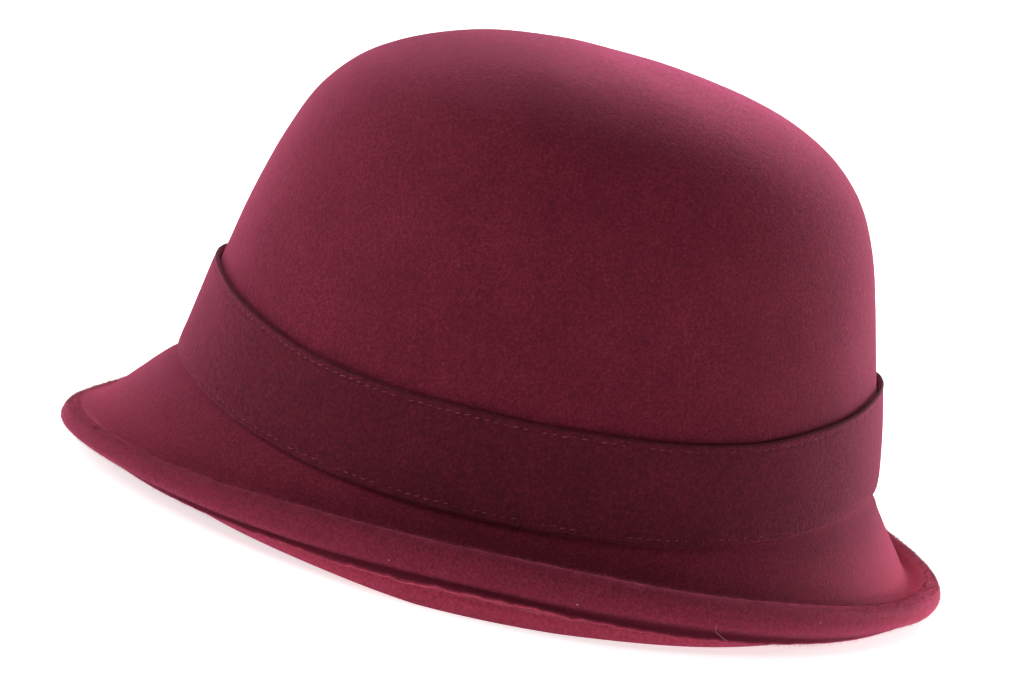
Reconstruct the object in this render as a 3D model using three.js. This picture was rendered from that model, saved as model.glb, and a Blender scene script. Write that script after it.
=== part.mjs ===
// Felt cloche hat: a round blocked crown that flares without a seam into a
// narrow brim whose edge is turned up and rolled over to the outside, with a
// flat self-felt band round the foot of the crown.
//
// Millimetres, +Z up. The hat rests on z = 0. Front is -Y, back is +Y, and
// +X is the wearer's left. The origin is the middle of the hat's footprint.
import * as THREE from "three";

// ---- driving dimensions (mm) ---------------------------------------------
const FELT = 2.2;          // thickness of the hood felt
const BAND_FELT = 1.4;     // thickness of the band felt
const BAND_GAP = 0.6;      // play between the band and the crown
const AROUND = 60;         // facets round the hat
const BAND_STEPS = 6;      // facets across the band's height
const CENTRE_Y = 2.6;      // moves the table's y so that the footprint is centred

// The crown's top point.
const POLE = { y: -9.0, z: 145.4 };

// Sections of the felt's outer face, from the top of the crown down to the
// raw edge of the rolled brim. Each row is one ring round the hat:
//   yf, zf  where the ring crosses the front       (y, height)
//   w,  zs  its half width and height at the sides
//   yb, zb  where it crosses the back              (y, height)
//   pf, pb  how sharply the height changes towards front and back
//   egg     front narrower than back,  tip  both ends drawn in
//   n       facets from the row above to this one
const SECTIONS = [
  // name        yf     zf      w      zs     yb     zb    pf   pb   egg   tip   n
  ["top1",     -30.0, 144.0,  22.0, 143.9,  12.5, 143.9, 2.0, 2.0, 0.00, 0.00, 2],
  ["top2",     -47.9, 140.1,  42.1, 139.7,  31.2, 141.9, 2.0, 2.0, 0.00, 0.00, 2],
  ["dome1",    -61.4, 134.5,  56.2, 132.9,  48.4, 138.3, 2.0, 2.0, 0.00, 0.00, 1],
  ["dome2",    -70.8, 128.2,  64.7, 125.4,  61.7, 133.5, 2.0, 2.0, 0.01, 0.00, 1],
  ["dome3",    -79.6, 118.0,  71.1, 114.0,  74.1, 126.1, 2.0, 2.0, 0.02, 0.00, 1],
  ["side1",    -86.0, 104.7,  75.7,  98.7,  84.0, 115.6, 2.0, 2.0, 0.02, 0.00, 1],
  ["side2",    -90.6,  92.0,  78.8,  83.0,  90.2, 102.8, 3.0, 3.0, 0.02, 0.00, 1],
  ["side3",    -94.2,  80.0,  80.9,  69.0,  94.0,  89.7, 3.0, 3.0, 0.02, 0.00, 1],
  ["side4",    -97.1,  68.2,  82.6,  57.0,  97.4,  75.0, 4.0, 4.0, 0.02, 0.00, 1],
  ["waist",    -98.3,  63.5,  83.9,  50.5, 100.2,  62.8, 4.0, 4.0, 0.02, 0.00, 1],
  ["seat",    -101.2,  50.0,  85.8,  38.0, 102.8,  50.0, 4.0, 4.0, 0.02, 0.00, 1],
  ["break",   -103.9,  38.5,  88.1,  28.0, 104.5,  38.5, 4.0, 4.0, 0.02, 0.00, 1],
  ["hem",     -105.8,  33.0,  89.6,  23.6, 105.2,  31.0, 3.6, 3.4, 0.02, 0.01, 1],
  ["flare1",  -111.9,  28.5,  93.7,  17.0, 108.8,  26.1, 3.1, 2.6, 0.03, 0.03, 1],
  ["flare2",  -117.4,  23.1,  97.4,  11.0, 112.6,  20.4, 2.7, 2.2, 0.05, 0.06, 1],
  ["flare3",  -122.7,  17.8, 100.8,   5.4, 117.6,  13.3, 2.1, 1.9, 0.06, 0.10, 1],
  ["channel", -127.6,  13.4, 103.2,   1.5, 122.4,   6.4, 1.6, 1.6, 0.07, 0.13, 2],
  ["floor",   -128.7,  12.8, 104.7,   1.1, 123.6,   6.0, 1.6, 1.6, 0.07, 0.13, 1],
  ["rise1",   -129.5,  12.5, 105.2,   4.3, 124.4,   6.3, 1.5, 1.6, 0.07, 0.13, 1],
  ["rise2",   -130.4,  12.2, 103.9,  10.0, 125.2,   7.6, 1.5, 1.6, 0.07, 0.13, 1],
  ["rise3",   -131.4,  12.0, 103.4,  15.6, 126.1,   8.6, 1.5, 1.6, 0.07, 0.13, 1],
  ["crest",   -133.5,  11.6, 105.8,  19.0, 128.3,   9.2, 1.5, 1.6, 0.07, 0.13, 2],
  ["brow",    -136.2,  10.0, 109.3,  17.5, 131.3,   7.7, 1.5, 1.6, 0.07, 0.13, 2],
  ["tip",     -137.2,   7.4, 110.8,  14.4, 132.2,   5.1, 1.5, 1.6, 0.07, 0.13, 1],
  ["chin",    -135.6,   5.9, 110.8,  10.6, 130.5,   2.4, 1.5, 1.6, 0.07, 0.13, 1],
  ["recess",  -133.0,   5.1, 109.9,   9.2, 128.1,   1.0, 1.5, 1.4, 0.07, 0.13, 1],
  ["raw",     -130.0,   4.4, 110.8,   7.5, 125.3,   0.0, 1.3, 1.2, 0.07, 0.13, 1],
];

// Heights of the band's two edges at front, sides and back, and their sharpness.
const BAND_TOP = { front: 64.4, side: 51.3, back: 64.6, sharp: 3.8 };
const BAND_BOTTOM = { front: 34.7, side: 22.7, back: 35.0, sharp: 3 };

// ---- the felt's outer face as a smooth surface ----------------------------
const KEYS = 10; // numeric columns of SECTIONS that are interpolated
function sectionKeys() {
  const rows = SECTIONS.map((r) => r.slice(1, 1 + KEYS));
  const pole = [POLE.y, POLE.z, 0, POLE.z, POLE.y, POLE.z, 2, 2, 0, 0];
  // a ghost ring beyond the pole mirrors the first one, so the top is level
  const [yf, zf, w, zs, yb, zb] = rows[0];
  const ghost = [yb, zb, -w, zs, yf, zf, 2, 2, 0, 0];
  const last = rows[rows.length - 1], prev = rows[rows.length - 2];
  const end = last.map((v, k) => 2 * v - prev[k]);
  return [ghost, pole, ...rows, end];
}
const KEY = sectionKeys();
const KNOT = [0];
for (let i = 1; i < KEY.length; i++) {
  const a = KEY[i - 1], b = KEY[i];
  const chord = (Math.hypot(b[0] - a[0], b[1] - a[1]) + Math.hypot(b[2] - a[2], b[3] - a[3])
    + Math.hypot(b[4] - a[4], b[5] - a[5])) / 3;
  KNOT.push(KNOT[i - 1] + Math.sqrt(chord));
}

// Centripetal Catmull-Rom through the sections; s = 0 at the pole and
// s = SECTIONS.length at the raw edge.
function section(s) {
  const seg = Math.min(Math.max(Math.floor(s), 0), SECTIONS.length - 1);
  const i = seg + 1, f = s - seg;
  const t0 = KNOT[i - 1], t1 = KNOT[i], t2 = KNOT[i + 1], t3 = KNOT[i + 2];
  const t = t1 + (t2 - t1) * f;
  const out = [];
  for (let k = 0; k < KEYS; k++) {
    const p0 = KEY[i - 1][k], p1 = KEY[i][k], p2 = KEY[i + 1][k], p3 = KEY[i + 2][k];
    const a1 = ((t1 - t) * p0 + (t - t0) * p1) / (t1 - t0);
    const a2 = ((t2 - t) * p1 + (t - t1) * p2) / (t2 - t1);
    const a3 = ((t3 - t) * p2 + (t - t2) * p3) / (t3 - t2);
    const b1 = ((t2 - t) * a1 + (t - t0) * a2) / (t2 - t0);
    const b2 = ((t3 - t) * a2 + (t - t1) * a3) / (t3 - t1);
    out.push(((t2 - t) * b1 + (t - t1) * b2) / (t2 - t1));
  }
  return out;
}

// A height that goes from `side` at the sides to `front` and `back`.
function saddle(side, front, back, pf, pb, sin) {
  return side + (sin < 0 ? (front - side) * Math.abs(sin) ** pf : (back - side) * Math.abs(sin) ** pb);
}

function outer(s, angle) {
  const [yf, zf, w, zs, yb, zb, pf, pb, egg, tip] = section(s);
  const c = Math.cos(angle), d = Math.sin(angle);
  return new THREE.Vector3(
    w * c * (1 + egg * d - tip * d * d),
    (yf + yb) / 2 + ((yb - yf) / 2) * d + CENTRE_Y,
    saddle(zs, zf, zb, pf, pb, d),
  );
}

function outwards(s, angle) {
  if (s < 1e-6) return new THREE.Vector3(0, 0, 1);
  const e = 1e-3, s1 = Math.min(s + e, SECTIONS.length), s0 = Math.max(s - e, 1e-4);
  const ds = outer(s1, angle).sub(outer(s0, angle));
  const da = outer(s, angle + e).sub(outer(s, angle - e));
  return ds.cross(da).normalize();
}

// ---- mesh building ---------------------------------------------------------
const angles = Array.from({ length: AROUND }, (_, j) => (2 * Math.PI * j) / AROUND);

// Closed skin from rings: `rings` runs once round the wall's section. A ring of
// one point is an apex.
function skin(rings, closed) {
  const position = [], start = [];
  for (const ring of rings) {
    start.push(position.length / 3);
    for (const p of ring) position.push(p.x, p.y, p.z);
  }
  const index = [];
  const last = closed ? rings.length : rings.length - 1;
  for (let i = 0; i < last; i++) {
    const k = (i + 1) % rings.length;
    const a = start[i], b = start[k];
    const na = rings[i].length, nb = rings[k].length;
    for (let j = 0; j < AROUND; j++) {
      const m = (j + 1) % AROUND;
      if (na === 1) index.push(a, b + j, b + m);
      else if (nb === 1) index.push(a + j, b, a + m);
      else index.push(a + j, b + j, b + m, a + j, b + m, a + m);
    }
  }
  const g = new THREE.BufferGeometry();
  g.setAttribute("position", new THREE.Float32BufferAttribute(position, 3));
  g.setIndex(index);
  g.computeVertexNormals();
  return g;
}

// Felt is flattened where it rests: nothing goes below z = 0.
const rest = (p) => { p.z = Math.max(p.z, 0); return p; };

function bodyGeometry() {
  const steps = [0];
  SECTIONS.forEach((row, i) => {
    const n = row[row.length - 1];
    for (let k = 1; k <= n; k++) steps.push(i + k / n);
  });
  const out = [], inn = [];
  for (const s of steps) {
    if (s === 0) {
      out.push([outer(0, 0)]);
      inn.push([outer(0, 0).add(new THREE.Vector3(0, 0, -FELT))]);
      continue;
    }
    out.push(angles.map((a) => rest(outer(s, a))));
    inn.push(angles.map((a) => rest(outer(s, a).addScaledVector(outwards(s, a), -FELT))));
  }
  return skin([...out, ...inn.reverse()], false);
}

// Point of the outer face at a given height on the crown, pushed out by `off`.
function onCrown(z, angle, off) {
  let lo = 4, hi = 14.5; // s between the dome and the upper flare
  for (let k = 0; k < 40; k++) {
    const mid = (lo + hi) / 2;
    if (outer(mid, angle).z > z) lo = mid; else hi = mid;
  }
  return outer(lo, angle).addScaledVector(outwards(lo, angle), off);
}

function bandGeometry() {
  const edge = (e, a) => saddle(e.side, e.front, e.back, e.sharp, e.sharp, Math.sin(a));
  const face = (off) => Array.from({ length: BAND_STEPS + 1 }, (_, k) => {
    const f = k / BAND_STEPS;
    return angles.map((a) => onCrown(edge(BAND_TOP, a) * (1 - f) + edge(BAND_BOTTOM, a) * f, a, off));
  });
  const far = face(BAND_GAP + BAND_FELT), near = face(BAND_GAP);
  return skin([...far, ...near.reverse()], true);
}

// ---- the hat ---------------------------------------------------------------
const felt = new THREE.MeshStandardMaterial({ color: 0x6b1128, roughness: 0.95, metalness: 0 });
const bandFelt = new THREE.MeshStandardMaterial({ color: 0x640f25, roughness: 0.95, metalness: 0 });

const body = new THREE.Mesh(bodyGeometry(), felt);
body.name = "hat_body";
const band = new THREE.Mesh(bandGeometry(), bandFelt);
band.name = "hat_band";

const hat = new THREE.Group();
hat.name = "cloche_hat";
hat.add(body, band);
export default hat;
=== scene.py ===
import bpy
import math
import numpy as np
from mathutils import Matrix, Vector


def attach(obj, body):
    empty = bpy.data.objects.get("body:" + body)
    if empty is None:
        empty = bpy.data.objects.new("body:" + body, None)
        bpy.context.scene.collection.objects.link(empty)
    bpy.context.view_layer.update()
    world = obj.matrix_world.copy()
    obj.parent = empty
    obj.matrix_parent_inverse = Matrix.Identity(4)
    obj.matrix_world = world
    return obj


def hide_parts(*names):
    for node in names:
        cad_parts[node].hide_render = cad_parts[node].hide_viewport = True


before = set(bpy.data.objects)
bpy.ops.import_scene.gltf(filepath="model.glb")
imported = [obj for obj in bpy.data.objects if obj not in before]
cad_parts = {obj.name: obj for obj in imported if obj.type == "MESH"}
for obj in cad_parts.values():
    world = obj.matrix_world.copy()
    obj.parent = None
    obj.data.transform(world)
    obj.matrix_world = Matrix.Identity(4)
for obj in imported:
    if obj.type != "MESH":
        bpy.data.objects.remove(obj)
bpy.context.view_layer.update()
RNG = np.random.default_rng(11)

# ---------------------------------------------------------------------------
# Driving sizes, in millimetres, the same as in the part's source
# ---------------------------------------------------------------------------
FELT = 2.2
BAND_FELT = 1.4
BAND_GAP = 0.6
CENTRE_Y = 2.6
POLE = {"y": -9.0, "z": 145.4}
SECTIONS = [
    # name        yf     zf      w      zs     yb     zb    pf   pb   egg   tip
    ("top1",     -30.0, 144.0,  22.0, 143.9,  12.5, 143.9, 2.0, 2.0, 0.00, 0.00),
    ("top2",     -47.9, 140.1,  42.1, 139.7,  31.2, 141.9, 2.0, 2.0, 0.00, 0.00),
    ("dome1",    -61.4, 134.5,  56.2, 132.9,  48.4, 138.3, 2.0, 2.0, 0.00, 0.00),
    ("dome2",    -70.8, 128.2,  64.7, 125.4,  61.7, 133.5, 2.0, 2.0, 0.01, 0.00),
    ("dome3",    -79.6, 118.0,  71.1, 114.0,  74.1, 126.1, 2.0, 2.0, 0.02, 0.00),
    ("side1",    -86.0, 104.7,  75.7,  98.7,  84.0, 115.6, 2.0, 2.0, 0.02, 0.00),
    ("side2",    -90.6,  92.0,  78.8,  83.0,  90.2, 102.8, 3.0, 3.0, 0.02, 0.00),
    ("side3",    -94.2,  80.0,  80.9,  69.0,  94.0,  89.7, 3.0, 3.0, 0.02, 0.00),
    ("side4",    -97.1,  68.2,  82.6,  57.0,  97.4,  75.0, 4.0, 4.0, 0.02, 0.00),
    ("waist",    -98.3,  63.5,  83.9,  50.5, 100.2,  62.8, 4.0, 4.0, 0.02, 0.00),
    ("seat",    -101.2,  50.0,  85.8,  38.0, 102.8,  50.0, 4.0, 4.0, 0.02, 0.00),
    ("break",   -103.9,  38.5,  88.1,  28.0, 104.5,  38.5, 4.0, 4.0, 0.02, 0.00),
    ("hem",     -105.8,  33.0,  89.6,  23.6, 105.2,  31.0, 3.6, 3.4, 0.02, 0.01),
    ("flare1",  -111.9,  28.5,  93.7,  17.0, 108.8,  26.1, 3.1, 2.6, 0.03, 0.03),
    ("flare2",  -117.4,  23.1,  97.4,  11.0, 112.6,  20.4, 2.7, 2.2, 0.05, 0.06),
    ("flare3",  -122.7,  17.8, 100.8,   5.4, 117.6,  13.3, 2.1, 1.9, 0.06, 0.10),
    ("channel", -127.6,  13.4, 103.2,   1.5, 122.4,   6.4, 1.6, 1.6, 0.07, 0.13),
    ("floor",   -128.7,  12.8, 104.7,   1.1, 123.6,   6.0, 1.6, 1.6, 0.07, 0.13),
    ("rise1",   -129.5,  12.5, 105.2,   4.3, 124.4,   6.3, 1.5, 1.6, 0.07, 0.13),
    ("rise2",   -130.4,  12.2, 103.9,  10.0, 125.2,   7.6, 1.5, 1.6, 0.07, 0.13),
    ("rise3",   -131.4,  12.0, 103.4,  15.6, 126.1,   8.6, 1.5, 1.6, 0.07, 0.13),
    ("crest",   -133.5,  11.6, 105.8,  19.0, 128.3,   9.2, 1.5, 1.6, 0.07, 0.13),
    ("brow",    -136.2,  10.0, 109.3,  17.5, 131.3,   7.7, 1.5, 1.6, 0.07, 0.13),
    ("tip",     -137.2,   7.4, 110.8,  14.4, 132.2,   5.1, 1.5, 1.6, 0.07, 0.13),
    ("chin",    -135.6,   5.9, 110.8,  10.6, 130.5,   2.4, 1.5, 1.6, 0.07, 0.13),
    ("recess",  -133.0,   5.1, 109.9,   9.2, 128.1,   1.0, 1.5, 1.4, 0.07, 0.13),
    ("raw",     -130.0,   4.4, 110.8,   7.5, 125.3,   0.0, 1.3, 1.2, 0.07, 0.13),
]
BAND_TOP = {"front": 64.4, "side": 51.3, "back": 64.6, "sharp": 3.8}
BAND_BOTTOM = {"front": 34.7, "side": 22.7, "back": 35.0, "sharp": 3}
ROW = {r[0]: i + 1 for i, r in enumerate(SECTIONS)}  # s of each section
LAST = float(len(SECTIONS))

# ---------------------------------------------------------------------------
# The felt's outer face as a smooth surface, S(s, angle)
# ---------------------------------------------------------------------------
_rows = np.array([r[1:] for r in SECTIONS], float)
_pole = np.array([POLE["y"], POLE["z"], 0, POLE["z"], POLE["y"], POLE["z"], 2, 2, 0, 0], float)
_f = _rows[0]
_ghost = np.array([_f[4], _f[5], -_f[2], _f[3], _f[0], _f[1], 2, 2, 0, 0])
KEY = np.vstack([_ghost, _pole, _rows, 2 * _rows[-1] - _rows[-2]])
_d = np.diff(KEY, axis=0)
KNOT = np.concatenate([[0], np.cumsum(np.sqrt(
    (np.hypot(_d[:, 0], _d[:, 1]) + np.hypot(_d[:, 2], _d[:, 3]) + np.hypot(_d[:, 4], _d[:, 5])) / 3))])


def section(s):
    """Interpolated section rows at each s, by centripetal Catmull-Rom."""
    s = np.asarray(s, float)
    seg = np.clip(np.floor(s).astype(int), 0, len(SECTIONS) - 1)
    i, f = seg + 1, s - seg
    t0, t1, t2, t3 = (KNOT[i + k][..., None] for k in (-1, 0, 1, 2))
    p0, p1, p2, p3 = (KEY[i + k] for k in (-1, 0, 1, 2))
    t = t1 + (t2 - t1) * f[..., None]
    a1 = ((t1 - t) * p0 + (t - t0) * p1) / (t1 - t0)
    a2 = ((t2 - t) * p1 + (t - t1) * p2) / (t2 - t1)
    a3 = ((t3 - t) * p2 + (t - t2) * p3) / (t3 - t2)
    b1 = ((t2 - t) * a1 + (t - t0) * a2) / (t2 - t0)
    b2 = ((t3 - t) * a2 + (t - t1) * a3) / (t3 - t1)
    return ((t2 - t) * b1 + (t - t1) * b2) / (t2 - t1)


def outer(s, angle):
    s, angle = np.broadcast_arrays(np.asarray(s, float), np.asarray(angle, float))
    yf, zf, w, zs, yb, zb, pf, pb, egg, tip = np.moveaxis(section(s), -1, 0)
    c, d = np.cos(angle), np.sin(angle)
    h = np.abs(d)
    z = zs + np.where(d < 0, (zf - zs) * h ** pf, (zb - zs) * h ** pb)
    return np.stack([w * c * (1 + egg * d - tip * d * d),
                     (yf + yb) / 2 + (yb - yf) / 2 * d + CENTRE_Y, z], -1)


# Where this hat's felt has settled away from the plain table:
#   section, spread in sections, angle and spread in degrees, lift in mm
SETTLED = [
    (ROW["raw"], 3.0, -70, 16, 1.1),
    (ROW["raw"], 3.0, 66, 10, 1.0),
    (ROW["crest"], 2.5, 108, 15, -1.3),
    (ROW["crest"], 2.5, 253, 15, -0.9),
]


def settled(s, angle):
    p = outer(s, angle)
    s, angle = np.broadcast_arrays(np.asarray(s, float), np.asarray(angle, float))
    for s0, ds, a0, da, lift in SETTLED:
        turn = (np.degrees(angle) - a0 + 180.0) % 360.0 - 180.0
        p[..., 2] += lift * np.exp(-((s - s0) / ds) ** 2 - (turn / da) ** 2)
    return p


def outwards(s, angle):
    s, angle = np.broadcast_arrays(np.asarray(s, float), np.asarray(angle, float))
    e = 1e-3
    ds = outer(np.minimum(s + e, LAST), angle) - outer(np.maximum(s - e, 1e-4), angle)
    da = outer(s, angle + e) - outer(s, angle - e)
    n = np.cross(ds, da)
    n /= np.maximum(np.linalg.norm(n, axis=-1, keepdims=True), 1e-12)
    n[s < 1e-3] = (0, 0, 1)
    return n


def on_crown(z, angle, off):
    lo, hi = np.full(z.shape, 4.0), np.full(z.shape, 14.5)
    for _ in range(40):
        mid = (lo + hi) / 2
        up = outer(mid, angle)[..., 2] > z
        lo, hi = np.where(up, mid, lo), np.where(up, hi, mid)
    return outer(lo, angle) + outwards(lo, angle) * np.asarray(off)[..., None]


def band_edge(e, angle):
    d = np.sin(angle)
    h = np.abs(d) ** e["sharp"]
    return e["side"] + np.where(d < 0, (e["front"] - e["side"]) * h, (e["back"] - e["side"]) * h)


def waves(angle, s, seed, terms, amp, lo=2, hi=9):
    """A smooth seeded unevenness over the hat, for felt that was shaped by hand."""
    r = np.random.default_rng(seed)
    out = np.zeros(np.broadcast(angle, s).shape)
    for _ in range(terms):
        k, m = r.integers(lo, hi), r.uniform(0.15, 0.8)
        out = out + r.normal() * np.sin(k * angle + r.uniform(0, 6.28)) * np.sin(m * s + r.uniform(0, 6.28))
    return amp * out / math.sqrt(terms)


# ---------------------------------------------------------------------------
# Mesh helpers
# ---------------------------------------------------------------------------
def add_mesh(name, verts_mm, faces, smooth=True):
    me = bpy.data.meshes.new(name)
    v = np.asarray(verts_mm, np.float32) * 0.001
    f = np.asarray(faces, np.int32)
    n = f.shape[1]
    me.vertices.add(len(v))
    me.vertices.foreach_set("co", v.ravel())
    me.loops.add(f.size)
    me.loops.foreach_set("vertex_index", f.ravel())
    me.polygons.add(len(f))
    me.polygons.foreach_set("loop_start", np.arange(0, f.size, n, dtype=np.int32))
    me.polygons.foreach_set("loop_total", np.full(len(f), n, np.int32))
    me.update(calc_edges=True)
    if smooth:
        me.polygons.foreach_set("use_smooth", np.ones(len(f), bool))
    ob = bpy.data.objects.new(name, me)
    bpy.context.scene.collection.objects.link(ob)
    return ob


def quads(rings, around, closed):
    """Quad faces between successive rings of `around` points."""
    i = np.arange(rings if closed else rings - 1)[:, None] * around
    k = ((np.arange(rings if closed else rings - 1) + 1) % rings)[:, None] * around
    j = np.arange(around)[None]
    m = (j + 1) % around
    return np.stack([i + j, k + j, k + m, i + m], -1).reshape(-1, 4)


# ---------------------------------------------------------------------------
# Procedural felt
# ---------------------------------------------------------------------------
def felt_material(name, deep, mid, light, sheen, sheen_tint, grain=1.0, coarse=1.0, rubbed=0.12):
    m = bpy.data.materials.new(name)
    m.use_nodes = True
    nt = m.node_tree
    nt.nodes.clear()
    N, L = nt.nodes.new, nt.links.new
    out, bsdf = N("ShaderNodeOutputMaterial"), N("ShaderNodeBsdfPrincipled")
    L(bsdf.outputs[0], out.inputs[0])
    tc = N("ShaderNodeTexCoord")

    def noise(scale, detail, rough, distort=0.0, kind="Object"):
        n = N("ShaderNodeTexNoise")
        n.inputs["Scale"].default_value = scale
        n.inputs["Detail"].default_value = detail
        n.inputs["Roughness"].default_value = rough
        n.inputs["Distortion"].default_value = distort
        L(tc.outputs[kind], n.inputs["Vector"])
        return n.outputs["Fac"]

    def math_node(op, a, b=None, clamp=False):
        n = N("ShaderNodeMath")
        n.operation = op
        n.use_clamp = clamp
        for k, v in enumerate((a, b)):
            if v is None:
                continue
            if isinstance(v, (int, float)):
                n.inputs[k].default_value = v
            else:
                L(v, n.inputs[k])
        return n.outputs[0]

    def remap(v, a, b, c, d):
        n = N("ShaderNodeMapRange")
        n.clamp = True
        for k, x in enumerate((a, b, c, d)):
            n.inputs[k + 1].default_value = x
        L(v, n.inputs[0])
        return n.outputs[0]

    def strands(scale, distort):
        """Thin winding lines, as of matted wool: where a warped noise crosses its middle."""
        n = noise(scale, 3.0, 0.62, distort)
        return remap(math_node("ABSOLUTE", math_node("SUBTRACT", n, 0.5)), 0.0, 0.055, 1.0, 0.0)

    mottle = noise(1080.0 * coarse, 4.0, 0.70)
    fine = noise(2600.0 * coarse, 3.0, 0.7)
    cloud = noise(60.0, 3.0, 0.55)
    wool_a = strands(620.0 * coarse, 1.4)
    wool_b = strands(1250.0 * coarse, 1.1)
    wool = math_node("MAXIMUM", wool_a, math_node("MULTIPLY", wool_b, 0.75))

    # colour: dark between the strands, paler on them, with broad soft clouds
    tone = math_node("ADD", math_node("MULTIPLY", mottle, 0.62), math_node("MULTIPLY", fine, 0.38))
    tone = math_node("ADD", tone, math_node("MULTIPLY", wool, 0.07 * grain))
    tone = math_node("ADD", tone, math_node("MULTIPLY", math_node("SUBTRACT", cloud, 0.5), 0.14))
    ramp = N("ShaderNodeValToRGB")
    ramp.color_ramp.elements[0].position, ramp.color_ramp.elements[0].color = 0.42, (*deep, 1)
    ramp.color_ramp.elements[1].position, ramp.color_ramp.elements[1].color = 0.69, (*light, 1)
    e = ramp.color_ramp.elements.new(0.545)
    e.color = (*mid, 1)
    L(tone, ramp.inputs[0])

    # rubbed nap: the convex edges of the felt are a little paler
    geo = N("ShaderNodeNewGeometry")
    worn_and_lit = remap(geo.outputs["Pointiness"], 0.53, 0.62, 0.0, rubbed)
    mix = N("ShaderNodeMix")
    mix.data_type = "RGBA"
    L(math_node("MULTIPLY", worn_and_lit, mottle), mix.inputs["Factor"])
    L(ramp.outputs[0], mix.inputs["A"])
    mix.inputs["B"].default_value = (*[min(1.0, 1.6 * c) for c in light], 1)
    # paler by the mesh's own attribute values: partly handled and cut felt, partly painted light on the lip, the
    # channel, the cut edge's end face and the fold under it
    rubbed_and_lit = N("ShaderNodeAttribute")
    rubbed_and_lit.attribute_name = "rubbed_and_lit"
    pale = N("ShaderNodeMix")
    pale.data_type = "RGBA"
    L(math_node("MULTIPLY", rubbed_and_lit.outputs["Fac"], remap(mottle, 0.3, 0.7, 0.55, 1.45), True), pale.inputs["Factor"])
    L(mix.outputs["Result"], pale.inputs["A"])
    pale.inputs["B"].default_value = (0.560, 0.0640, 0.1250, 1)
    # painted shade by the mesh's own attribute values: darker inside the turn of the edge, in the hollow under the
    # lip
    shade_mix = N("ShaderNodeMix")
    shade_mix.data_type = "RGBA"
    hollow_shade = N("ShaderNodeAttribute")
    hollow_shade.attribute_name = "hollow_shade"
    L(hollow_shade.outputs["Fac"], shade_mix.inputs["Factor"])
    L(pale.outputs["Result"], shade_mix.inputs["A"])
    shade_mix.inputs["B"].default_value = (*deep, 1)
    L(shade_mix.outputs["Result"], bsdf.inputs["Base Color"])

    L(remap(mottle, 0.3, 0.7, 0.86, 1.0), bsdf.inputs["Roughness"])
    bsdf.inputs["Specular IOR Level"].default_value = 0.12
    bsdf.inputs["Sheen Weight"].default_value = sheen
    bsdf.inputs["Sheen Roughness"].default_value = 0.31
    bsdf.inputs["Sheen Tint"].default_value = (*sheen_tint, 1)

    height = math_node("ADD", math_node("MULTIPLY", mottle, 0.9), math_node("MULTIPLY", fine, 0.45))
    height = math_node("ADD", height, math_node("MULTIPLY", wool, 0.28 * grain))
    bump = N("ShaderNodeBump")
    bump.inputs["Strength"].default_value = 0.58
    bump.inputs["Distance"].default_value = 0.00030 * grain
    L(height, bump.inputs["Height"])
    soft = N("ShaderNodeBump")
    soft.inputs["Strength"].default_value = 0.35
    soft.inputs["Distance"].default_value = 0.00022
    L(noise(260.0, 2.0, 0.5), soft.inputs["Height"])
    L(soft.outputs[0], bump.inputs["Normal"])
    L(bump.outputs[0], bsdf.inputs["Normal"])
    return m


def thread_material(name, low, high, scale, sheen):
    m = bpy.data.materials.new(name)
    m.use_nodes = True
    nt = m.node_tree
    bsdf = nt.nodes["Principled BSDF"]
    tc, no, ra = (nt.nodes.new(k) for k in ("ShaderNodeTexCoord", "ShaderNodeTexNoise", "ShaderNodeValToRGB"))
    no.inputs["Scale"].default_value = scale
    no.inputs["Detail"].default_value = 2.0
    ra.color_ramp.elements[0].position, ra.color_ramp.elements[0].color = 0.35, (*low, 1)
    ra.color_ramp.elements[1].position, ra.color_ramp.elements[1].color = 0.68, (*high, 1)
    nt.links.new(tc.outputs["Object"], no.inputs["Vector"])
    nt.links.new(no.outputs["Fac"], ra.inputs[0])
    nt.links.new(ra.outputs[0], bsdf.inputs["Base Color"])
    bu = nt.nodes.new("ShaderNodeBump")
    bu.inputs["Strength"].default_value = 0.3
    bu.inputs["Distance"].default_value = 0.00008
    nt.links.new(no.outputs["Fac"], bu.inputs["Height"])
    nt.links.new(bu.outputs[0], bsdf.inputs["Normal"])
    bsdf.inputs["Roughness"].default_value = 0.7
    bsdf.inputs["Specular IOR Level"].default_value = 0.25
    bsdf.inputs["Sheen Weight"].default_value = sheen
    return m


TINT = (1.0, 0.18, 0.36)
hood_mat = felt_material("hood_felt", (0.080, 0.0060, 0.0148), (0.125, 0.0098, 0.0235), (0.195, 0.0200, 0.0410),
                         1.0, TINT)
band_mat = felt_material("band_felt", (0.050, 0.0040, 0.0092), (0.083, 0.0070, 0.0158), (0.138, 0.0145, 0.0290),
                         1.0, TINT, grain=1.15, coarse=0.85, rubbed=0.0)
# darker felt with little sheen for the band's edges: painted shade of the crease
band_edge_shade_mat = felt_material("band_edge_painted_shade", (0.036, 0.0036, 0.0074), (0.060, 0.0060, 0.0120), (0.100, 0.0108, 0.0205),
                        0.20, TINT, grain=1.15, coarse=0.85, rubbed=0.0)
crest_mat = thread_material("crest_nap", (0.21, 0.022, 0.048), (0.44, 0.078, 0.128), 300.0, 0.0)
fringe_mat = thread_material("raised_nap", (0.30, 0.036, 0.072), (0.62, 0.130, 0.200), 300.0, 0.0)
fibre_mat = thread_material("wool_fibre", (0.15, 0.013, 0.031), (0.36, 0.052, 0.092), 300.0, 0.0)
thread_mat = thread_material("sewing_thread", (0.085, 0.008, 0.018), (0.27, 0.052, 0.082), 420.0, 0.1)
lint_mat = thread_material("pale_lint", (0.50, 0.26, 0.30), (0.75, 0.52, 0.54), 900.0, 0.1)
hair_mat = thread_material("stray_hair", (0.42, 0.150, 0.190), (0.66, 0.330, 0.370), 700.0, 0.2)

# ---------------------------------------------------------------------------
# Hood: crown, flare and rolled brim, one sheet of felt
# ---------------------------------------------------------------------------
AROUND = 360
ANG = 2 * math.pi * np.arange(AROUND) / AROUND


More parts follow.
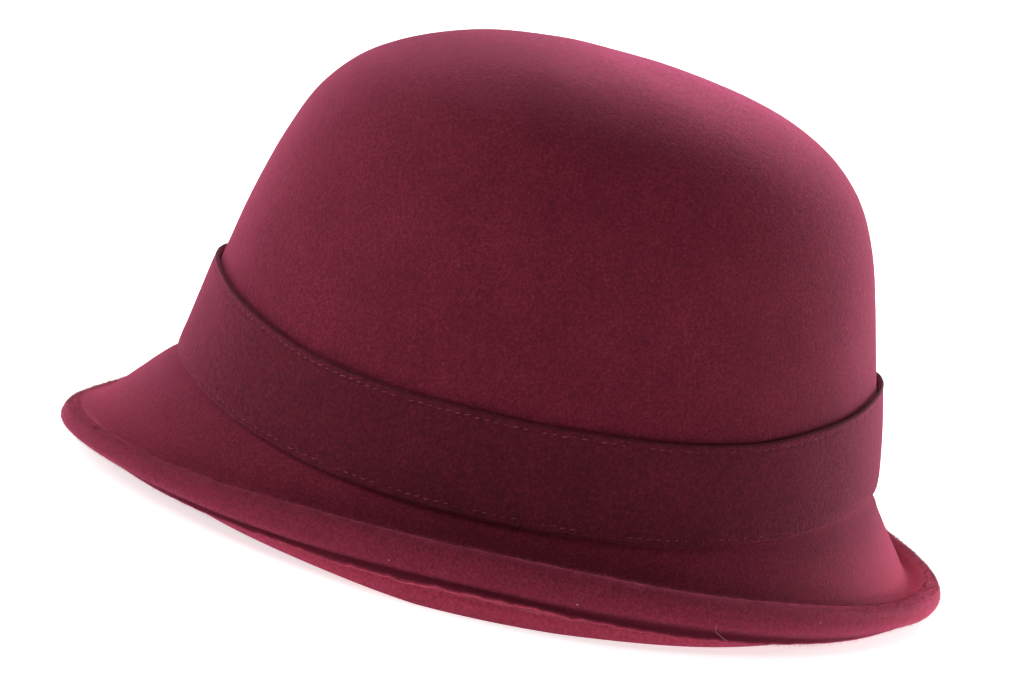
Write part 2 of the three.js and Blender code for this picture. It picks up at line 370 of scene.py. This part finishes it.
def steps_for(spacing_crown, spacing_brim):
    mean = (KNOT[2:-1] - KNOT[1:-2]) ** 2
    out = [0.0]
    for i, length in enumerate(mean):
        n = max(1, int(round(length / (spacing_crown if i < ROW["break"] else spacing_brim))))
        out += [i + k / n for k in range(1, n + 1)]
    return np.array(out)


def hood_shape(s, offset, angle):
    """Points of the hood's felt at a depth `offset` under its outer face."""
    p, n = settled(s, angle), outwards(s, angle)
    brim = np.clip((s - ROW["flare2"]) / 3.0, 0, 1)
    uneven = waves(angle, s, 3, 14, 0.22) + brim * waves(angle, s * 0.3, 5, 10, 0.30, 3, 12)
    away = np.clip((s - ROW["side4"]) / 1.0, 0, 1) * np.clip((ROW["flare1"] - s) / 1.0, 0, 1)
    uneven = uneven * (1 - 0.9 * away) * np.clip(s / 2.0, 0, 1)
    p = p + n * (uneven - offset)[..., None]
    spring = 0.35 * np.clip((s - ROW["recess"]) / 0.8, 0, 1) ** 1.5 \
        - 0.45 * np.exp(-((s - ROW["recess"]) / 0.55) ** 2) \
        + 0.80 * np.exp(-((s - ROW["hem"] - 0.45) / 0.34) ** 2) * np.abs(np.sin(angle)) ** 3
    p = p + np.stack([np.cos(angle), np.sin(angle), 0 * angle], -1) * spring[..., None]
    p[..., 2] = np.maximum(p[..., 2], 0.0)
    return p


def hood():
    so = steps_for(2.2, 1.05)
    so = so[1:]
    si = steps_for(4.0, 1.5)[1:]
    a = ANG[None]
    out = hood_shape(so[:, None], np.zeros((len(so), 1)) + 0 * a, a)
    inn = hood_shape(si[:, None], np.full((len(si), 1), FELT) + 0 * a, a)
    # the cut edge: a slightly ragged end face, rounded over by wear
    r = np.random.default_rng(21)
    rag = np.zeros(AROUND)
    for k in (5, 9, 14, 23, 37, 58, 83, 121):
        rag += r.normal() * np.sin(k * ANG + r.uniform(0, 6.28)) / math.sqrt(k)
    rag = 0.46 * rag + 0.24 * r.normal(size=AROUND)
    tang = outer(LAST, ANG) - outer(LAST - 0.02, ANG)
    tang /= np.linalg.norm(tang, axis=-1, keepdims=True)
    nrm = outwards(LAST, ANG)
    tail = np.clip((so - (LAST - 0.8)) / 0.8, 0, 1)
    out = out + tang[None] * (rag[None] * tail[:, None])[..., None]
    tail = np.clip((si - (LAST - 0.8)) / 0.8, 0, 1)
    inn = inn + tang[None] * (rag[None] * tail[:, None])[..., None]
    end = []
    for f in (0.10, 0.28, 0.5, 0.72, 0.90):
        q = hood_shape(np.full(AROUND, LAST), FELT * f, ANG) + tang * (rag + 0.36 * math.sin(math.pi * f) ** 0.6 - 0.1)[:, None]
        end.append(q)
    end = np.array(end)
    for g in (out, inn, end):
        g[..., 2] = np.maximum(g[..., 2], 0.0)
    rings = np.concatenate([out, end, inn[::-1]])
    n = len(rings)
    v = np.concatenate([rings.reshape(-1, 3),
                        [outer(1e-4, 0.0), outer(1e-4, 0.0) - [0, 0, FELT]]])
    f = quads(n, AROUND, False)
    ob = add_mesh("hat_hood", v, f)
    # close both poles
    me = ob.data
    import bmesh
    bm = bmesh.new()
    bm.from_mesh(me)
    bm.verts.ensure_lookup_table()
    top, low = bm.verts[len(v) - 2], bm.verts[len(v) - 1]
    for j in range(AROUND):
        k = (j + 1) % AROUND
        bm.faces.new((top, bm.verts[j], bm.verts[k])).smooth = True
        b = (n - 1) * AROUND
        bm.faces.new((low, bm.verts[b + k], bm.verts[b + j])).smooth = True
    bmesh.ops.recalc_face_normals(bm, faces=bm.faces)
    bm.to_mesh(me)
    bm.free()
    ob.data.materials.append(hood_mat)
    # paler on the rolled edge, more on the cut edge and the fold under it: partly rubbed by handling, partly
    # painted light from below and a painted highlight on the cut edge
    def spread(name, face, end_value, back, gain):
        v = np.zeros(len(ob.data.vertices), np.float32)
        ring = np.concatenate([np.interp(so, *face), np.full(len(end), end_value), np.interp(si[::-1], *back)])
        v[:n * AROUND] = (ring[:, None] * gain[None]).ravel()
        ob.data.attributes.new(name, "FLOAT", "POINT").data.foreach_set("value", v)

    def turn(centre, width):
        return np.exp(-(((np.degrees(ANG) - centre + 180) % 360 - 180) / width) ** 2)
    # paler most at the back end of the lip and a little at the front end: painted light where the side light falls
    worn_and_lit = 1 + 1.4 * turn(84, 36) + 3.0 * turn(82, 20) + 1.3 * turn(124, 24) + 0.35 * turn(270, 30)
    spread("rubbed_and_lit", ([0, ROW["flare1"], ROW["flare3"], ROW["channel"], ROW["crest"], ROW["brow"], ROW["chin"],
                    ROW["chin"] + 0.4, LAST - 0.15, LAST],
                   [0, 0.0, 0.09, 0.15, 0.12, 0.10, 0.17, 0.0, 0.1, 0.5]), 0.75,
           ([0, ROW["flare3"], ROW["channel"], ROW["rise1"], ROW["rise2"], ROW["rise3"], LAST - 0.2, LAST],
            [0, 0.05, 0.42, 0.52, 0.44, 0.0, 0.0, 0.4]), worn_and_lit)
    # painted shade: darker in the hollow under the lip and on the inner wall behind the cut edge
    spread("hollow_shade", ([0, ROW["chin"] + 0.1, ROW["chin"] + 0.6, LAST - 0.35, LAST - 0.05], [0, 0, 0.62, 0.62, 0.0]), 0.0,
           ([0, ROW["rise2"], ROW["rise3"], LAST - 0.3, LAST], [0, 0, 0.7, 0.7, 0]), np.ones(AROUND))
    return ob


hat_hood = hood()
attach(hat_hood, "root")
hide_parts("hat_body")

# ---------------------------------------------------------------------------
# Band: a strip of felt round the foot of the crown, topstitched at both edges
# ---------------------------------------------------------------------------
B_AROUND = 900
B_ANG = 2 * math.pi * np.arange(B_AROUND) / B_AROUND
STITCH_IN = {"top": 1.9, "bottom": 1.8}   # mm from each edge to its stitch row
PITCH = 2.75                               # mm from one stitch to the next


def band_height(f, angle, edge_wave=True):
    """Height at fraction f down the band, 0 at its top edge and 1 at its bottom."""
    top, low = band_edge(BAND_TOP, angle), band_edge(BAND_BOTTOM, angle)
    if edge_wave:
        top = top + waves(angle, 0 * angle + 1.0, 31, 8, 0.22, 5, 26)
        low = low + waves(angle, 0 * angle + 1.0, 33, 8, 0.18, 5, 26)
    return top * (1 - f) + low * f


def edge_lift(angle):
    """How far the band's top edge stands off the crown, most towards the back."""
    return 0.06 + 0.04 * np.sin(5 * angle) + 0.26 * np.clip(np.sin(angle) * 1.4 - 0.3, 0, 1) ** 1.5


def band_depth(f, angle):
    """How far the band's outer face stands proud of its plain thickness."""
    high = band_edge(BAND_TOP, angle) - band_edge(BAND_BOTTOM, angle)
    down, up = f * high, (1 - f) * high
    groove = 0.16 * np.exp(-((down - STITCH_IN["top"]) / 0.6) ** 2) \
        + 0.14 * np.exp(-((up - STITCH_IN["bottom"]) / 0.6) ** 2)
    swell = 0.05 * np.sin(math.pi * np.clip(f, 0, 1)) + waves(angle, 6 * f, 37, 10, 0.08, 3, 20)
    lift = edge_lift(angle) * np.clip(1 - down / 4.0, 0, 1) ** 2
    return swell + lift - groove


def stitch_angles(f):
    """Angles of the stitches of one row, spaced evenly along it."""
    fine = np.linspace(0, 2 * math.pi, 2881)
    p = on_crown(band_height(np.full(fine.shape, f), fine), fine, np.full(fine.shape, BAND_GAP + BAND_FELT))
    along = np.concatenate([[0], np.cumsum(np.linalg.norm(np.diff(p, axis=0), axis=1))])
    n = int(round(along[-1] / PITCH))
    return np.interp((np.arange(n) + 0.5) * along[-1] / n, along, fine), along[-1]


HIGH = float(np.mean(band_edge(BAND_TOP, B_ANG) - band_edge(BAND_BOTTOM, B_ANG)))
ROW_F = {"top": STITCH_IN["top"] / HIGH, "bottom": 1 - STITCH_IN["bottom"] / HIGH}
ROWS = {k: stitch_angles(f) for k, f in ROW_F.items()}


def band():
    fo = np.concatenate([[0.0, 0.006, 0.018, 0.04], np.linspace(0.065, 0.145, 7), np.linspace(0.18, 0.82, 13),
                         np.linspace(0.855, 0.935, 7), [0.96, 0.982, 0.994, 1.0]])
    rings = []
    a = B_ANG
    for f in fo:
        high = band_edge(BAND_TOP, a) - band_edge(BAND_BOTTOM, a)
        edge = np.minimum(f, 1 - f) * high
        curl = 0.45 * np.clip(1 - edge / 0.8, 0, 1) ** 1.6
        off = BAND_GAP + BAND_FELT + band_depth(np.full(a.shape, f), a) - curl
        # stitches pull the felt in between their holes
        for k, (row, _) in ROWS.items():
            d = abs(f - ROW_F[k]) * HIGH
            if d < 1.6:
                ph = np.interp(a, np.concatenate([[row[-1] - 2 * math.pi], row, [row[0] + 2 * math.pi]]),
                               np.arange(-1, len(row) + 1))
                off = off - 0.07 * math.exp(-(d / 0.6) ** 2) * (0.5 - 0.5 * np.cos(2 * math.pi * ph))
        rings.append(on_crown(band_height(np.full(a.shape, f), a), a, off))
    for f in (1.0, 0.98, 0.7, 0.4, 0.08, 0.02, 0.0):
        down = f * (band_edge(BAND_TOP, a) - band_edge(BAND_BOTTOM, a))
        lift = edge_lift(a) * np.clip(1 - down / 4.0, 0, 1) ** 2
        curl = 0.22 if f in (0.0, 1.0) else 0.0
        rings.append(on_crown(band_height(np.full(a.shape, f), a), a, BAND_GAP + curl + lift))
    rings = np.array(rings)
    ob = add_mesh("hat_band_felt", rings.reshape(-1, 3), quads(len(rings), B_AROUND, True))
    ob.data.materials.append(band_mat)
    # both cut edges lie in the crease; their darker felt with little sheen is painted shade of the crease between
    # band and crown
    ob.data.materials.append(band_edge_shade_mat)
    slot = np.zeros((len(rings), B_AROUND), np.int32)
    slot[[0, 1, len(fo) - 2, len(fo) - 1, len(rings) - 1]] = 1
    ob.data.polygons.foreach_set("material_index", slot.ravel())
    return ob


band_ob = band()
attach(band_ob, "root")
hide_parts("hat_band")


# ---------------------------------------------------------------------------
# Topstitching
# ---------------------------------------------------------------------------
def tubes(paths, radii, sides):
    """One mesh of many short tubes. paths is (n, k, 3) and radii is (n, k)."""
    n, k, _ = paths.shape
    t = np.gradient(paths, axis=1)
    t /= np.maximum(np.linalg.norm(t, axis=-1, keepdims=True), 1e-9)
    ref = np.where(np.abs(t[..., 2:3]) < 0.9, np.array([0.0, 0, 1]), np.array([1.0, 0, 0]))
    u = np.cross(t, ref)
    u /= np.maximum(np.linalg.norm(u, axis=-1, keepdims=True), 1e-9)
    w = np.cross(t, u)
    ph = 2 * math.pi * np.arange(sides) / sides
    ring = paths[:, :, None] + radii[:, :, None, None] * (
        np.cos(ph)[None, None, :, None] * u[:, :, None] + np.sin(ph)[None, None, :, None] * w[:, :, None])
    base = np.arange(n)[:, None, None] * (k * sides) + np.arange(k - 1)[None, :, None] * sides
    j = np.arange(sides)[None, None]
    m = (j + 1) % sides
    f = np.stack([base + j, base + m, base + sides + m, base + sides + j], -1)
    return ring.reshape(-1, 3), f.reshape(-1, 4)


def stitches():
    all_p, all_r = [], []
    r = np.random.default_rng(41)
    for k, (row, long) in ROWS.items():
        n = len(row)
        step = 2 * math.pi / n
        gap = np.gradient(np.unwrap(row))
        t = np.linspace(-0.5, 0.5, 7)
        reach = 0.62 * (1 + 0.10 * r.normal(size=n))
        a = row[:, None] + gap[:, None] * reach[:, None] * t[None]
        f = ROW_F[k] + (0.10 * r.normal(size=n)[:, None] - 0.30 * t[None]) / HIGH
        f = np.broadcast_to(f, a.shape)
        dip = 0.30 * (np.abs(t[None]) / 0.5) ** 3
        # most lie sunk in the felt, deepest towards the back
        sunk = 0.11 * np.abs(r.normal(size=n)) + 0.10 * np.clip(np.sin(row) * 1.6 + 0.5, 0, 1) \
            + (0.04 if k == "bottom" else 0.0)
        off = BAND_GAP + BAND_FELT + band_depth(f, a) + 0.14 - dip - sunk[:, None]
        all_p.append(on_crown(band_height(f, a), a, off))
        rad = 0.125 * np.sqrt(np.clip(1.06 - (np.abs(t) / 0.5) ** 4, 0.05, 1))
        all_r.append(np.broadcast_to(rad[None], a.shape) * (1 + 0.08 * r.normal(size=(n, 1))))
    v, f = tubes(np.concatenate(all_p), np.concatenate(all_r), 7)
    ob = add_mesh("band_topstitching", v, f)
    ob.data.materials.append(thread_mat)
    return ob


stitch_ob = stitches()
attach(stitch_ob, "root")


# ---------------------------------------------------------------------------
# Nap: short wool fibres lying on the felt, as one joined mesh for each piece
# ---------------------------------------------------------------------------
def fibres(root, normal, length, lift, width, seed, bend=0.6, lean=None):
    """Ribbons of four faces that start just under the felt and lie or stand on it."""
    r = np.random.default_rng(seed)
    n = len(root)
    side = r.normal(size=(n, 3))
    if lean is not None:
        side = side * 0.45 + lean
    side -= normal * (side * normal).sum(-1, keepdims=True)
    side /= np.maximum(np.linalg.norm(side, axis=-1, keepdims=True), 1e-9)
    third = np.cross(normal, side)
    turn = bend * r.normal(size=n)
    pts = []
    for t in (0.0, 0.5, 1.0):
        along = length * t
        pts.append(root + side * (along * np.cos(lift) * np.cos(turn * t))[:, None]
                   + third * (along * np.cos(lift) * np.sin(turn * t))[:, None]
                   + normal * (along * np.sin(lift) * (1 - 0.35 * t) - 0.12)[:, None])
    pts = np.array(pts)                       # (3, n, 3)
    flat = np.cross(pts[2] - pts[0], r.normal(size=(n, 3)))
    flat /= np.maximum(np.linalg.norm(flat, axis=-1, keepdims=True), 1e-9)
    half = flat * (width / 2)[:, None]
    v = np.stack([pts[0] - half, pts[0] + half, pts[1] - half, pts[1] + half,
                  pts[2] - half * 0.3, pts[2] + half * 0.3], 1)      # (n, 6, 3)
    b = np.arange(n)[:, None] * 6
    f = np.stack([b + [0, 1, 3, 2], b + [2, 3, 5, 4]], 1).reshape(-1, 4)
    v[..., 2] = np.maximum(v[..., 2], 0.02)
    return v.reshape(-1, 3), f


def scatter_hood(n, seed, s_lo, s_hi):
    """Points spread evenly over the hood's outer face between two sections."""
    r = np.random.default_rng(seed)
    ss = np.linspace(max(s_lo, 0.05), s_hi, 160)
    aa = np.linspace(0, 2 * math.pi, 121)
    P = outer(ss[:, None], aa[None])
    cell = np.linalg.norm(np.cross(P[1:, :-1] - P[:-1, :-1], P[:-1, 1:] - P[:-1, :-1]), axis=-1)
    pick = r.choice(cell.size, n, p=(cell / cell.sum()).ravel())
    i, j = np.unravel_index(pick, cell.shape)
    s = ss[i] + (ss[1] - ss[0]) * r.random(n)
    a = aa[j] + (aa[1] - aa[0]) * r.random(n)
    return s, a, float(cell.sum())


def nap():
    made = []
    r = np.random.default_rng(51)
    # crown and flare, then the rolled edge, which shows more of its fibres
    for name, n, lo, hi, low, up, size, seed in (
            ("nap_crown", 44000, 0.1, ROW["waist"] - 0.2, 0.5, 1.2, 0.030, 61),
            ("nap_flare", 10000, ROW["hem"] + 0.1, ROW["channel"], 0.5, 1.3, 0.030, 62),
            ("nap_roll", 38000, ROW["crest"], ROW["recess"], 0.6, 1.7, 0.034, 63),
            ("nap_crest", 28000, ROW["rise3"] + 0.3, ROW["crest"] + 0.7, 0.8, 2.0, 0.040, 64)):
        s, a, _ = scatter_hood(n, seed, lo, hi)
        q, nn = hood_shape(s, 0 * s, a), outwards(s, a)
        length = r.uniform(low, up, n) * np.where(r.random(n) < 0.03, 1.8, 1.0)
        lift = np.abs(r.normal(0.22, 0.24, n)) if name != "nap_crest" else r.uniform(0.1, 1.2, n)
        stands = r.random(n) < 0.24
        lift = np.where(stands, r.uniform(0.6, 1.3, n), lift)
        width = size * r.uniform(0.7, 1.3, n)
        lean = None
        if name == "nap_crest":
            lean = outer(s + 0.05, a) - outer(s - 0.05, a)
            lean /= np.linalg.norm(lean, axis=-1, keepdims=True)
        v, f = fibres(q, nn, length, lift, width, seed + 100, lean=lean)
        ob = add_mesh(name, v, f)
        ob.data.materials.append(crest_mat if name == "nap_crest" else fibre_mat)
        made.append(ob)
    # fibres that stand out of the cut edge
    n = 30000
    a = r.random(n) * 2 * math.pi
    f = r.random(n)
    nn = outwards(np.full(n, LAST), a)
    t = outer(np.full(n, LAST), a) - outer(np.full(n, LAST - 0.02), a)
    t /= np.linalg.norm(t, axis=-1, keepdims=True)
    q = hood_shape(np.full(n, LAST), FELT * f, a) + t * 0.15
    length = r.uniform(0.4, 1.6, n)
    v, fc = fibres(q, t, length, r.uniform(0.3, 1.5, n), 0.045 * r.uniform(0.6, 1.6, n), 171)
    ob = add_mesh("cut_edge_fibres", v, fc)
    ob.data.materials.append(fringe_mat)
    made.append(ob)
    # the band's face and its two edges
    n = 16000
    a, ff = r.random(n) * 2 * math.pi, r.random(n)
    edge = r.random(n) < 0.12
    ff = np.where(edge, np.where(r.random(n) < 0.5, 0.004, 0.996), ff)
    off = BAND_GAP + BAND_FELT + band_depth(ff, a) - np.where(edge, 0.5, 0.0)
    h = band_height(ff, a)
    q = on_crown(h, a, off)
    nn = q - on_crown(h, a, off - 0.5)
    nn /= np.linalg.norm(nn, axis=-1, keepdims=True)
    length = r.uniform(0.4, 1.1, n)
    v, fc = fibres(q, nn, length, np.abs(r.normal(0.22, 0.24, n)), 0.026 * r.uniform(0.7, 1.3, n), 181)
    ob = add_mesh("nap_band", v, fc)
    ob.data.materials.append(fibre_mat)
    made.append(ob)
    return made


for ob in nap():
    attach(ob, "root")


def stray():
    """One loose curved hair and three specks of lint on the near side of the brim."""
    def hair(points, radius):
        p = np.array(points, float)
        t = np.linspace(0, 1, len(p))
        tt = np.linspace(0, 1, 22)
        c = np.stack([np.interp(tt, t, p[:, k]) for k in range(3)], -1)
        for _ in range(3):
            c[1:-1] = (c[:-2] + 2 * c[1:-1] + c[2:]) / 4
        return c[None], np.full((1, 22), radius)
    def near(sec, angle, off):
        return settled(sec, angle) + outwards(sec, angle) * off
    path = [near(ROW["chin"] - 0.4, 0.4960, 0.25), near(ROW["chin"] + 0.2, 0.4985, 0.75),
            near(ROW["recess"] + 0.1, 0.5236, 1.10), near(LAST - 0.3, 0.5430, 0.60),
            near(LAST - 0.1, 0.5560, 0.35)]
    parts = [tubes(*hair(path, 0.042), 5)]
    for sec, b, seed in ((ROW["tip"] - 0.3, 0.7679 - 0.006, 6), (ROW["chin"] - 0.2, 0.1876, 5),
                         (ROW["chin"] - 0.4, -0.2051, 7)):
        r = np.random.default_rng(seed)
        c = near(sec, b, 0.14)
        pts = c + r.normal(size=(5, 3)) * [0.10, 0.22, 0.12]
        parts.append(tubes(*hair(pts, 0.055), 5))
    V, F, at = [], [], 0
    for v, f in parts:
        V.append(v)
        F.append(f + at)
        at += len(v)
    V = np.concatenate(V)
    V[:, 2] = np.maximum(V[:, 2], 0.02)
    ob = add_mesh("stray_hair_and_lint", V, np.concatenate(F))
    ob.data.materials.append(hair_mat)
    ob.data.materials.append(lint_mat)
    slot = np.ones(len(ob.data.polygons), np.int32)
    slot[:len(parts[0][1])] = 0
    ob.data.polygons.foreach_set("material_index", slot)
    return ob


lint = stray()
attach(lint, "root")

# ---------------------------------------------------------------------------
# Floor, light and camera
# ---------------------------------------------------------------------------
def plain(name, colour, rough, glow):
    m = bpy.data.materials.new(name)
    m.use_nodes = True
    b = m.node_tree.nodes["Principled BSDF"]
    b.inputs["Base Color"].default_value = (*colour, 1)
    b.inputs["Roughness"].default_value = rough
    b.inputs["Specular IOR Level"].default_value = 0.1
    b.inputs["Emission Color"].default_value = (1, 1, 1, 1)
    b.inputs["Emission Strength"].default_value = glow
    return m


floor = add_mesh("studio_floor", np.array([[-30, -30, 0], [30, -30, 0], [30, 30, 0], [-30, 30, 0]]) * 1000.0,
                 [[0, 1, 2, 3]], smooth=False)
floor.data.materials.append(plain("pale_floor", (0.90, 0.90, 0.90), 0.9, 0.66))

world = bpy.data.worlds.new("studio")
bpy.context.scene.world = world
world.use_nodes = True
world.node_tree.nodes["Background"].inputs[0].default_value = (1.0, 0.99, 0.985, 1)
world.node_tree.nodes["Background"].inputs[1].default_value = 0.09


def area(name, where, aim, size, power, colour=(1, 1, 1)):
    d = bpy.data.lights.new(name, "AREA")
    d.shape, d.size, d.size_y, d.energy, d.color = "RECTANGLE", size[0], size[1], power, colour
    o = bpy.data.objects.new(name, d)
    bpy.context.scene.collection.objects.link(o)
    o.location = where
    o.rotation_euler = (Vector(aim) - Vector(where)).to_track_quat("-Z", "Y").to_euler()
    return o


area("light_back", (-1.5, 0.0, 1.1), (0, 0, 0.07), (2.6, 1.4), 44)
area("light_left", (-0.2, -1.6, 0.7), (0, 0, 0.07), (1.2, 1.2), 20)
area("light_right", (-1.0, 1.35, 0.3), (0, 0, 0.05), (1.1, 0.7), 34)
area("light_low", (0.15, 1.25, 0.12), (0, 0.08, 0.01), (0.6, 0.16), 4)
area("light_top", (0.1, -0.1, 1.7), (0, 0, 0.05), (1.0, 1.0), 2)
area("light_front", (0.65, -0.85, 1.35), (0, 0, 0.03), (0.9, 0.9), 7.8)

ELEV, ROLL, DIST = math.radians(12.3), math.radians(11.344), 1.0
TARGET = Vector((0.0, (-9.111 + CENTRE_Y) / 1000, 0.05441))
eye = TARGET + DIST * Vector((math.cos(ELEV), 0.0, math.sin(ELEV)))
look = (TARGET - eye).normalized()
right = look.cross(Vector((0, 0, 1))).normalized()
up = right.cross(look).normalized()
r2 = right * math.cos(ROLL) + up * math.sin(ROLL)
u2 = -right * math.sin(ROLL) + up * math.cos(ROLL)
cam = bpy.data.cameras.new("camera")
cam.sensor_width = 36.0
cam.sensor_fit = "HORIZONTAL"
cam.lens = 36.0 * 3349.0 / 1022.0
cam.clip_start, cam.clip_end = 0.05, 100.0
camera = bpy.data.objects.new("camera", cam)
bpy.context.scene.collection.objects.link(camera)
camera.matrix_world = Matrix.Translation(eye) @ Matrix((r2, u2, -look)).transposed().to_4x4()
bpy.context.scene.camera = camera

vs = bpy.context.scene.view_settings
vs.view_transform = "Standard"
vs.look = "None"
vs.exposure = 0.0
vs.gamma = 1.0
